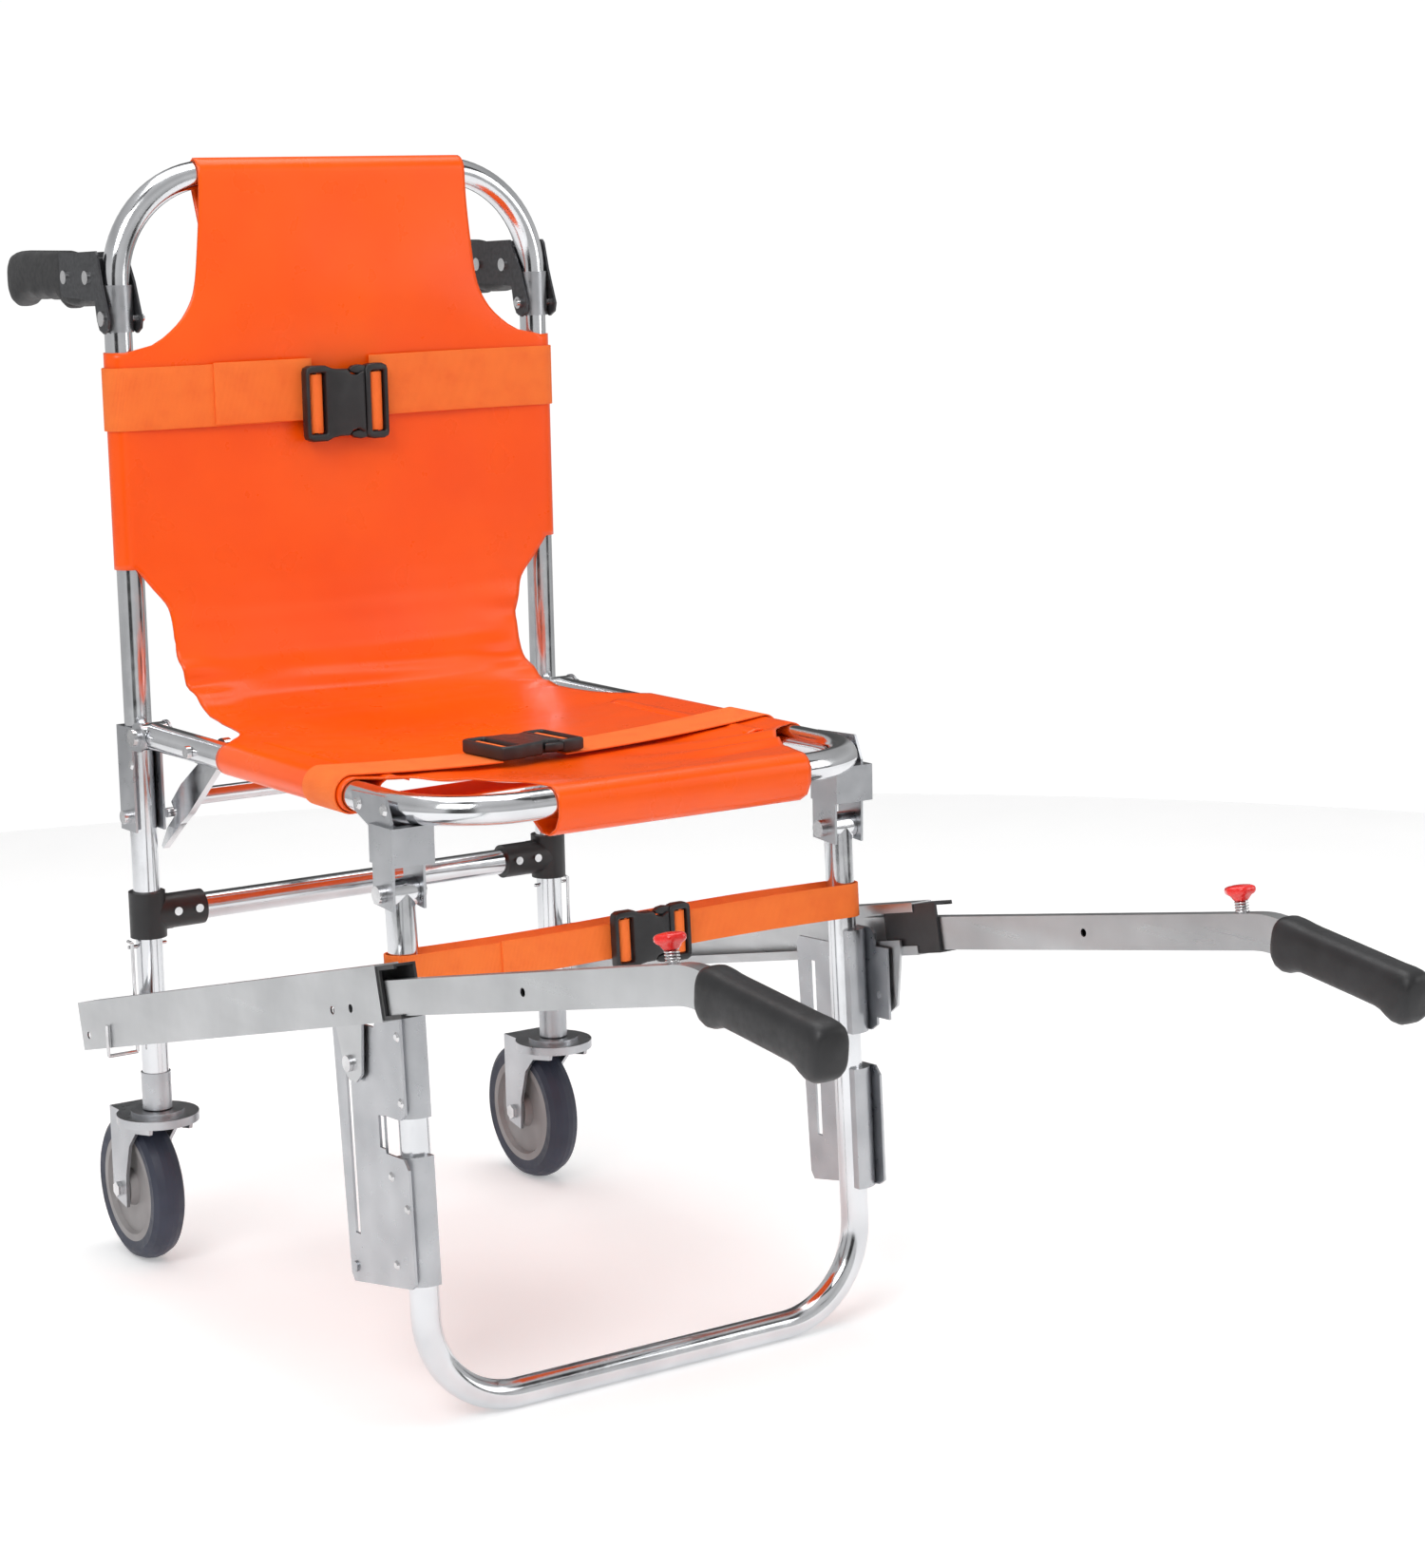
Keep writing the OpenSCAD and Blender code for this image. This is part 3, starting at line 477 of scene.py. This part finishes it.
def sling_mesh():
    line = dense_line(sling_profile(), 5.0)
    run = np.concatenate([[0], np.cumsum(np.linalg.norm(np.diff(line, axis=0), axis=1))])
    s_top = run[int(np.argmin(np.abs(line[:, 1] - (TOP_Z + LOOP_R))))]
    front_rows = np.where((line[:, 0] <= FRONT_Y + 0.01) & (line[:, 1] > SEAT_TOP - 1))[0]
    s_front = run[front_rows[0]]
    tangent = np.gradient(line, axis=0)
    tangent /= np.linalg.norm(tangent, axis=1)[:, None]
    normal = np.stack([tangent[:, 1], -tangent[:, 0]], axis=1)
    columns = np.linspace(-1, 1, 73)
    bm = bmesh.new()
    layer = bm.loops.layers.uv.new("UVMap")
    crease = run[np.argmin(np.abs(line[:, 1] - 486) + 1e3 * (line[:, 0] < 120))]
    rng = np.random.default_rng(11)
    phase = rng.uniform(0, 6.28, 12)
    rows, widths = [], []
    for (y, z), s, n in zip(line, run, normal):
        left, right = half_widths(y, z, s, s_top, s_front)
        widths.append((left, right))
        x = np.where(columns < 0, columns * left, columns * right)
        edge = np.abs(columns)
        mid = 1 - edge**2
        push = np.zeros_like(x)
        seat = 1.0 if (y < 150 and z > 465) else 0.0
        if seat:
            along = np.clip((y - FRONT_Y) / 60, 0, 1) * np.clip((150 - y) / 70, 0, 1)
            push -= 11.0 * mid * (3 * along**2 - 2 * along**3)
            drawn = bell(x, 120, 60) * bell(y, -190, 55)
            inner = np.clip((192 - np.abs(x)) / 40, 0, 1)
            push += 2.6 * np.sin((x * 0.55 + y) / 7.5 + phase[0]) * drawn * inner * along
            left_corner = bell(x, -120, 50) * bell(y, -175, 40)
            push += 1.5 * np.sin((x * 0.8 - y) / 9.5 + phase[1]) * left_corner * along
        if s_top < s and y > PANEL_Y - 3 and z > 540:
            push += 5.0 * mid * bell(z, 800, 45) - 4.5 * mid * bell(z, 690, 90)
        bend = bell(y, 196, 36) * bell(z, 492, 46) * (s > s_top) * (y > 120)
        ripples = (np.sin(s / 5.6 + phase[2] + x * 0.02) + 0.6 * np.sin(s / 3.9 + phase[3] - x * 0.03))
        push += 1.9 * ripples * bend * np.clip((edge - 0.62) / 0.3, 0, 1) ** 1.4
        push += 2.4 * bend * bell(s - 0.10 * x, crease, 9) * mid
        waves = np.sin(x / 23 + phase[4]) * np.sin(s / 31 + phase[5])
        push += 0.35 * waves * mid * (s > s_top + 15) * (s < s_front)
        rows.append([bm.verts.new(P(xx, y + n[0] * pp, z + n[1] * pp)) for xx, pp in zip(x, push)])

    def skin(grid, uv):
        for i in range(len(grid) - 1):
            for j in range(len(grid[0]) - 1):
                corners = [(i, j), (i + 1, j), (i + 1, j + 1), (i, j + 1)]
                verts = [grid[a][b] for a, b in corners]
                if len(set(verts)) < 4:
                    continue
                face = bm.faces.new(verts)
                for loop, (a, b) in zip(face.loops, corners):
                    loop[layer].uv = uv(a, b)

    skin(rows, lambda a, b: (columns[b] * widths[a][b > 36] * MM, run[a] * MM))
    area = float(sum((sum(widths[i]) + sum(widths[i + 1])) / 2 * (run[i + 1] - run[i])
                     for i in range(len(run) - 1)))

    def sleeve(wanted, side, centre_of, front, out, back_drop):
        """Fabric that goes on from the panel's edge round a tube and is sewn down on the panel's far face."""
        nonlocal area
        ids = [i for i in range(len(line)) if wanted(*line[i], run[i])]
        column = 0 if side < 0 else len(columns) - 1
        grid, arc = [], []
        seam = ((-16.5, -0.5), (-21, 6.5), (-27, LOOP_R - 2.1), (-33, LOOP_R - 2.1),
                (-44, LOOP_R - 2.2 - back_drop))
        for i in ids:
            ring = [rows[i][column]]
            lengths = [0.0]
            c = centre_of(*line[i])
            for a in np.linspace(0, 240, 21)[1:]:
                t = math.radians(a)
                q = c + front * (LOOP_R * math.cos(t)) + out * (side * LOOP_R * math.sin(t))
                ring.append(bm.verts.new(P(*q)))
                lengths.append(LOOP_R * t)
            for d_out, d_front in seam:
                q = c + out * (side * d_out) + front * d_front
                ring.append(bm.verts.new(P(*q)))
                lengths.append(lengths[-1] + 7.0)
            grid.append(ring)
            arc = lengths
        skin(grid, lambda a, b: ((0.192 + arc[b] * MM) * side, run[ids[0]] * MM + a * 0.005))
        area += arc[-1] * (run[ids[-1]] - run[ids[0]])

    for side in (-1, 1):
        sleeve(lambda y, z, s: SLEEVE_LOW - 0.01 <= z <= SLEEVE_TOP + 0.01 and y > 200 and s > s_top, side,
               lambda y, z, side=side: Vector((side * POST_X, POST_Y, z)), Vector((0, -1, 0)), Vector((1, 0,
                                                                                                       0)), 0)
        sleeve(lambda y, z, s: RAIL_FRONT - 0.01 <= y <= RAIL_REAR + 0.01 and z > 460 and s < s_front, side,
               lambda y, z, side=side: Vector((side * POST_X, y, SEAT_Z)), Vector((0, 0, 1)), Vector((1, 0,
                                                                                                      0)), 3.6)
    bmesh.ops.recalc_face_normals(bm, faces=bm.faces)
    mesh = bpy.data.meshes.new("sling")
    bm.to_mesh(mesh)
    bm.free()
    return mesh, area * MM * MM, float(run[-1]) * MM


mesh, sling_area, sling_length = sling_mesh()
sling = add_object("sling", mesh, "orange_vinyl", None, [
    ("SOLIDIFY", {"thickness": 0.0013, "offset": 0.0}), ], to_row=False)
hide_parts("back_sling", "seat_sling")
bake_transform(sling)


# ---------------------------------------------------------------- webbing
def ribbon(name, path, across, width, body, matrix, thick=1.4, cross=9):
    """Flat webbing along path. across(i) is the direction of its width at point i."""
    pts = [Vector(p) for p in path]
    run = [0.0]
    for a, b in zip(pts[:-1], pts[1:]):
        run.append(run[-1] + (b - a).length)
    rows, uv = [], []
    for p, s, i in zip(pts, run, range(len(pts))):
        w = Vector(across(i)).normalized()
        rows.append([p + w * (width * (k / (cross - 1) - 0.5)) for k in range(cross)])
        uv.append([(s * MM, width * k / (cross - 1) * MM) for k in range(cross)])
    mesh = from_grid(name, rows, uv)
    obj = add_object(name, mesh, "orange_webbing", body, [
        ("SOLIDIFY", {"thickness": thick * MM, "offset": 0.0}),
        ("BEVEL", {"width": 0.0004, "segments": 2, "limit_method": "ANGLE"})], matrix=matrix)
    return obj, run[-1]


def loop_path(x_left, x_right, radius, spread_x, dip):
    """Path of a strap in the (x, depth) plane, from the buckle round both tubes and back to it."""
    path = []
    for x in np.linspace(x_left, -spread_x, 22):
        path.append((x, radius - dip * (1 - (x / spread_x) ** 2)))
    for a in np.linspace(90, 270, 19)[1:]:
        path.append((-spread_x + radius * math.cos(math.radians(a)), radius * math.sin(math.radians(a))))
    for x in np.linspace(-spread_x, spread_x, 30)[1:]:
        path.append((x, -radius))
    for a in np.linspace(-90, 90, 19)[1:]:
        path.append((spread_x + radius * math.cos(math.radians(a)), radius * math.sin(math.radians(a))))
    for x in np.linspace(spread_x, x_right, 22)[1:]:
        path.append((x, radius - dip * (1 - (x / spread_x) ** 2)))
    return path


CHEST_Z, CHEST_W = 724.0, 50.0
LAP_X, LAP_Y, LAP_W = -25.0, -105.0, 50.0
LAP_SLOPE = 30 / (2 * POST_X)
LAP_DIP = 8.0
LEG_W, LEG_R = 26.0, 13.3
LEG = T(0, -210, 393) @ R("X", -3)
LEG_STRAP = LEG @ T(0, 0, -57)


path = loop_path(-33, 24, WEB_R, POST_X, 0.0)
chest, chest_len = ribbon("chest_webbing", [(x, POST_Y - d, CHEST_Z + 1.2 * math.sin(x / 95)) for x,
                                            d in path],
                          lambda i: (0, 0, 1), CHEST_W, "base", None)
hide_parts("chest_strap")

path = loop_path(LAP_X - 33, LAP_X + 24, WEB_R, POST_X, LAP_DIP)
lap, lap_len = ribbon("lap_webbing", [(x, LAP_Y + LAP_SLOPE * (x - LAP_X), SEAT_Z + d) for x, d in path],
                      lambda i: (0, 1, 0), LAP_W, "seat", None)
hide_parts("lap_strap")

path = loop_path(-28, 29, LEG_R, POST_X, 0.0)
leg_web, leg_len = ribbon("leg_webbing", [(x, -d, 1.2 * math.sin(x / 60)) for x, d in path],
                          lambda i: (0, 0, 1), LEG_W, "leg", LEG_STRAP)
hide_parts("leg_strap")

# folded-back ends of the webbing on its own front run
for name, body, matrix, x0, x1, width in (
        ("chest_tail", "base", T(0, POST_Y - WEB_R, CHEST_Z) @ R("X", 90), -118, -30, CHEST_W),
        ("leg_tail_webbing", "leg", LEG_STRAP @ T(0, -LEG_R, 0) @ R("X", 90), -120, -26, LEG_W)):
    pts = [(x, 0, 1.7 + 0.35 * math.sin(x / 17)) for x in np.linspace(x0, x1, 24)]
    tail, tail_len = ribbon(name, pts, lambda i: (0, 1, 0), width, body, matrix)


# ---------------------------------------------------------------- buckles
def buckle(prefix, w, matrix, body, tongue_body, replaced):
    """A side-release buckle: its socket with a web bar, and its tongue with two sprung arms."""
    h = w / 2
    lower = [(-38, -h + 5), (-37, -h + 2), (-33, -h), (-20, -h), (-14, -h + 2.5), (-8, -h + 3.5),
             (0, -h + 3.5), (4, -h + 8), (9, -h + 9), (14, -h + 6), (16, -h + 6)]
    outline = lower + [(x, -y) for x, y in reversed(lower)]
    window = rounded(-34.5, -20, -h + 6, h - 6, 1.5)
    socket = plate(prefix + "_socket", [outline, window], 0.2, 10.8, 1.8, "black_plastic", body, matrix)
    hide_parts(replaced + "_buckle")
    plate(prefix + "_socket_bar", [rounded(-29, -26.4, -h + 5, h - 5, 1.0)], 2.0, 6.2, 0.9, "black_plastic",
          body, matrix)
    low_edge = [(17, -h + 4), (19, -h + 1), (23, -h), (33, -h), (37, -h + 2), (38, -h + 5)]
    frame_out = low_edge + [(x, -y) for x, y in reversed(low_edge)]
    tongue = plate(prefix + "_tongue_frame", [frame_out, rounded(22.0, 34.5, -h + 6, h - 6, 1.5)], 0.6,
                   10.2, 1.8,
                   "black_plastic", tongue_body, matrix)
    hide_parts(replaced + "_tongue")
    plate(prefix + "_tongue_bar", [rounded(26.2, 28.8, -h + 5, h - 5, 1.0)], 2.0, 6.2, 0.9, "black_plastic",
          tongue_body, matrix)
    for s in (-1, 1):
        arm = [(18, s * (h - 9)), (18, s * (h - 1.5)), (12, s * (h - 0.5)), (6, s * (h - 1.5)), (3,
                                                                                                 s * (h - 4)),
               (4, s * (h - 6.5)), (10, s * (h - 8))]
        plate(f"{prefix}_tongue_arm_{'a' if s < 0 else 'b'}", [arm], 2.6, 8.4, 1.2, "black_plastic",
              tongue_body, matrix)


    for end, mid, owner in (("socket", -27.7, body), ("tongue", 27.5, tongue_body)):
        fold = [(mid + 6.4 * math.cos(math.radians(a)), 0, 1.6 + 6.8 * math.sin(math.radians(a)) ** 0.7)
                for a in np.linspace(2, 178, 19)]
        turn, turn_len = ribbon(f"{prefix}_{end}_web", fold, lambda i: (0, 1, 0), w - 14, owner, matrix, 1.1)


STRAP_FACE = WEB_R + 0.9
buckle("chest", 62, T(-2, POST_Y - STRAP_FACE, 712) @ R("X", 90), "base", "chest_clip", "chest")
buckle("lap", 58, T(LAP_X, LAP_Y, SEAT_Z + STRAP_FACE - LAP_DIP + 0.6) @ R("Z",
                                                                           math.degrees(math.atan(LAP_SLOPE))),
       "seat", "lap_clip", "lap")
buckle("leg", 50, LEG_STRAP @ T(5, -LEG_R - 0.9, 0) @ R("X", 90) @ Matrix.Scale(0.87, 4), "leg", "leg_clip",
       "leg")

# ---------------------------------------------------------------- hand grips
RAILS = {"l": (-254.0, 313.0, 13.75, 348.0), "r": (-283.0, 301.0, 11.7, 339.0)}
HANDLE_TILT, HANDLE_BEND, BEND_R, HANDLE_H = 1.6, 18.0, 80.0, 25.0
RAIL_IN = POST_X + TUBE_R + 8.5
HANDLE_X = RAIL_IN + 9.5
GRIP_SHAPE = [(0.4, 9, -10, 11), (1.2, 11.6, -13, 13.8), (3, 12.8, -16, 15.8), (6, 13.2, -19, 16.6),
              (11, 13.2, -20.4, 16.8), (16, 13.1, -19.6, 16.6), (21, 12.8, -17.2, 16.2), (27, 12.6, -15.6,
                                                                                          16),
              (45, 12.7, -15.4, 16), (74, 12.7, -15.4, 16), (96, 12.7, -15.6, 16), (102, 12.8, -16.8, 16),
              (107, 13.0, -19.2, 16.2), (112, 13.2, -20.8, 16.4), (118, 13.1, -20.6, 16), (122, 12.6, -18.6,
                                                                                           14.9),
              (124.6, 11.4, -16, 12.9), (125.8, 9.6, -13, 10.6)]
KNOB_BACK = 11


def rail_matrix(k):
    y, z, pitch, _ = RAILS[k]
    return T(0, y, z) @ R("X", -pitch) @ Matrix.Scale(-1, 4, (0, 1, 0))


def handle_matrix(k):
    return rail_matrix(k) @ T(0, 31, 2.8 + HANDLE_H / 2) @ R("X", -HANDLE_TILT)


def grip_matrix(k):
    return handle_matrix(k) @ T(0, RAILS[k][3], -BEND_R) @ R("X", -HANDLE_BEND) @ T(0, 0, BEND_R)


def coil(radius, pitch, turns, z0, steps=20):
    n = int(turns * steps)
    return [(radius * math.cos(2 * math.pi * i / steps), radius * math.sin(2 * math.pi * i / steps),
             z0 + pitch * i / steps) for i in range(n + 1)]


KNOB = [(2.9, 20.6), (4.6, 21.0), (5.6, 22.0), (7.2, 24.4), (9.4, 25.6), (10.3, 27.0), (10.4, 29.0), (9.7,
                                                                                                      30.2),
        (8.0, 31.0), (4.5, 31.6), (1.2, 31.8)]
REAR_SHAPE = [(292.8, 8, 800, 832), (294, 10.5, 796, 836), (297, 11.2, 793.5, 838), (302, 11.3, 796, 839.4),
              (308, 11.4, 800.5, 840), (314, 11.5, 803.4, 840), (320, 11.5, 801.2, 840), (326, 11.5, 800,
                                                                                          840),
              (332, 11.5, 801.6, 840), (338, 11.5, 803.4, 840), (344, 11.5, 801.4, 840), (350, 11.5, 800,
                                                                                          840),
              (356, 11.5, 801.8, 840), (362, 11.5, 803.4, 840), (368, 11.5, 801.6, 840), (376, 11.5, 798.6,
                                                                                          840),
              (384, 11.4, 794.6, 839.6), (390, 11.2, 793.6, 838.8), (396, 10.8, 796, 837.2), (400, 9.8, 800,
                                                                                              833.6),
              (402.4, 8.2, 805.5, 828)]
REAR_START, REAR_STRETCH, REAR_WIDEN = 302, 121.6 / 109.6, 1.13
REAR_SHAPE = [(REAR_START + (y - REAR_SHAPE[0][0]) * REAR_STRETCH, REAR_WIDEN * w, low, high)
              for y, w, low, high in REAR_SHAPE]
REAR_ROOT = [(252.4, 10.5, 806, 832), (255, 12.2, 803.5, 834.4), (262, 12.6, 799.5, 835), (270, 12.7, 796.8,
                                                                                           835),
             (280, 12.7, 795.4, 835), (292, 12.7, 796, 835), (306, 12.7, 798, 835)]

for k, s in SIDES.items():
    x = s * HANDLE_X
    grip = loft("front_grip_" + k, [(u, w, lo, hi, x) for u, w, lo, hi in GRIP_SHAPE], "grip_rubber",
                "handle_" + k,
                grip_matrix(k))
    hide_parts("grip_" + k)
    stem = handle_matrix(k) @ T(x, RAILS[k][3] - KNOB_BACK, 0)
    cap = lathe("knob_cap_" + k, KNOB, "red_plastic", "knob_" + k, stem, 60, 6, 0.45)
    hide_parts("knob_" + k)
    lathe("knob_stem_" + k, [(2.9, -2), (2.9, 12.8), (2.9, 21)], "bright_steel", "knob_" + k, stem, 24)
    tube("knob_spring_" + k, coil(4.3, 1.9, 4.2, 13.2), 0.62, "bright_steel", "handle_" + k, 8, stem)
    rear = loft("rear_hand_grip_" + k, [(y, w, lo, hi, s * POST_X) for y, w, lo, hi in REAR_SHAPE],
                "grip_rubber",
                "rear_" + k, None)
    loft("rear_grip_root_" + k, [(y, w, lo, hi, s * POST_X) for y, w, lo, hi in REAR_ROOT], "grip_rubber",
         "rear_" + k, None, power=6.0)
    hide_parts("rear_grip_" + k)

# ---------------------------------------------------------------- carried-over CAD nodes
BEVELS = {"post_bracket": 0.0007, "corner_bracket": 0.0007, "corner_block": 0.0012, "slot_plate": 0.0005,
          "rail": 0.0005, "guide": 0.0008, "tee": 0.0012, "rear_arm": 0.0006, "rear_clamp": 0.0008,
          "fork": 0.001,
          "tyre": 0.0, "hub": 0.0005, "fasteners_back": 0.0006, "fasteners_seat": 0.0006,
          "fasteners_leg": 0.0005,
          "handle_tube": 0.0008, "release_bar": 0.0007, "socket": 0.0008, "arm_bolts": 0.0007}
hidden = {n for n, o in frame["nodes"].items() if o.hide_render}
for entry in frame["record"]["subparts"]:
    name = entry["node"]
    if name in hidden:
        continue
    obj = frame["nodes"][name]
    material = MATS[entry["material_slot"]]
    if not obj.material_slots:
        obj.data.materials.append(material)
    for material_slot in obj.material_slots:
        material_slot.material = material
    base = name[:-2] if name[-2:] in ("_l", "_r") else name
    width = BEVELS.get(base, 0.0)
    if width:
        mod = obj.modifiers.new("Edge", "BEVEL")
        mod.width, mod.segments, mod.limit_method, mod.angle_limit = width, 2, "ANGLE", math.radians(50)
        mod.harden_normals = True

# ---------------------------------------------------------------- stage, camera and lights
floor_mesh = bpy.data.meshes.new("floor")
FLOOR_RADIUS, FLOOR_SIDES = 2.4, 96
rim = [2 * math.pi * k / FLOOR_SIDES for k in range(FLOOR_SIDES)]
floor_mesh.from_pydata([(FLOOR_RADIUS * math.cos(t), FLOOR_RADIUS * math.sin(t), 0) for t in rim], [],
                       [tuple(range(FLOOR_SIDES))])
floor = bpy.data.objects.new("floor", floor_mesh)
bpy.context.scene.collection.objects.link(floor)
floor_mesh.materials.append(surface("floor", (0.86, 0.86, 0.86), (0.89, 0.89, 0.89), (0.75, 0.85), 0.0, 3.0,
                                    Specular_IOR_Level=0.1, Emission_Strength=0.30,
                                    Emission_Color=(1, 1, 1, 1)))

camera_data = bpy.data.cameras.new("camera")
camera_data.lens = 75.376
camera_data.sensor_width = 36
camera = bpy.data.objects.new("camera", camera_data)
bpy.context.scene.collection.objects.link(camera)
RIGHT = (0.82815419, -0.56015912, -0.01955503)
UP = (0.11432569, 0.13466136, 0.98427433)
BACK = (-0.54871693, -0.81736655, 0.17556095)
EYE = (-1.27421, -2.22230 + Y0, 0.87147)
camera.matrix_world = Matrix([[RIGHT[i], UP[i], BACK[i], EYE[i]] for i in range(3)] + [[0, 0, 0, 1]])
bpy.context.scene.camera = camera


def area_light(name, place, target, size, power, tall=None):
    data = bpy.data.lights.new(name, "AREA")
    data.shape = "RECTANGLE"
    data.size, data.size_y, data.energy = size, tall or size, power
    light = bpy.data.objects.new(name, data)
    bpy.context.scene.collection.objects.link(light)
    light.location = place
    light.rotation_euler = (Vector(target) - Vector(place)).to_track_quat("-Z", "Y").to_euler()


area_light("key", (-2.2, -1.6, 2.6), (0, 0.1, 0.5), 1.6, 52)
area_light("fill", (2.6, -2.2, 1.6), (0, 0, 0.5), 1.4, 24, 2.2)
area_light("top", (0.2, 0.4, 3.0), (0, 0, 0.4), 2.2, 38)

world = bpy.data.worlds.new("studio")
bpy.context.scene.world = world
world.use_nodes = True
tree = world.node_tree
background = tree.nodes["Background"]
background.inputs["Strength"].default_value = 0.72
coord = node(tree, "ShaderNodeTexCoord").outputs["Generated"]
split = node(tree, "ShaderNodeSeparateXYZ")
tree.links.new(coord, split.inputs["Vector"])


def grey_ramp(value, low, high, stops):
    """Grey levels along a value that runs from low to high."""
    part = node(tree, "ShaderNodeMapRange")
    part.inputs["From Min"].default_value = low
    part.inputs["From Max"].default_value = high
    tree.links.new(value, part.inputs["Value"])
    ramp = node(tree, "ShaderNodeValToRGB")
    for place, grey in stops[1:-1]:
        ramp.color_ramp.elements.new(place).color = (grey, grey, grey, 1)
    for element, (_, grey) in ((ramp.color_ramp.elements[0], stops[0]), (ramp.color_ramp.elements[-1],
                                                                         stops[-1])):
        element.color = (grey, grey, grey, 1)
    tree.links.new(part.outputs["Result"], ramp.inputs["Fac"])
    return ramp.outputs["Color"]


around = node(tree, "ShaderNodeMath", operation="ARCTAN2")
tree.links.new(split.outputs["Y"], around.inputs[0])
tree.links.new(split.outputs["X"], around.inputs[1])
flags = grey_ramp(around.outputs[0], -math.pi, math.pi, [
    (0.0, 0.9), (0.085, 1.0), (0.10, 0.05), (0.16, 0.05), (0.178, 1.0), (0.345, 0.9), (0.36, 0.07), (0.415,
                                                                                                     0.09),
    (0.43, 0.85), (0.62, 0.7), (0.64, 0.15), (0.70, 0.15), (0.72, 0.9), (1.0, 0.9)])
height = grey_ramp(split.outputs["Z"], -1, 1, [
    (0.0, 0.9), (0.40, 0.75), (0.47, 0.85), (0.58, 1.0), (0.75, 0.75), (0.95, 1.0), (1.0, 1.0)])
product = node(tree, "ShaderNodeMix", data_type="RGBA", blend_type="MULTIPLY")
product.inputs["Factor"].default_value = 1.0
tree.links.new(flags, product.inputs[6])
tree.links.new(height, product.inputs[7])
seen = node(tree, "ShaderNodeLightPath")
pick = node(tree, "ShaderNodeMix", data_type="RGBA")
tree.links.new(seen.outputs["Is Camera Ray"], pick.inputs["Factor"])
tree.links.new(product.outputs[2], pick.inputs[6])
pick.inputs[7].default_value = (1.42, 1.42, 1.42, 1)
tree.links.new(pick.outputs[2], background.inputs["Color"])
bpy.context.scene.view_settings.view_transform = "Standard"

bpy.context.view_layer.update()
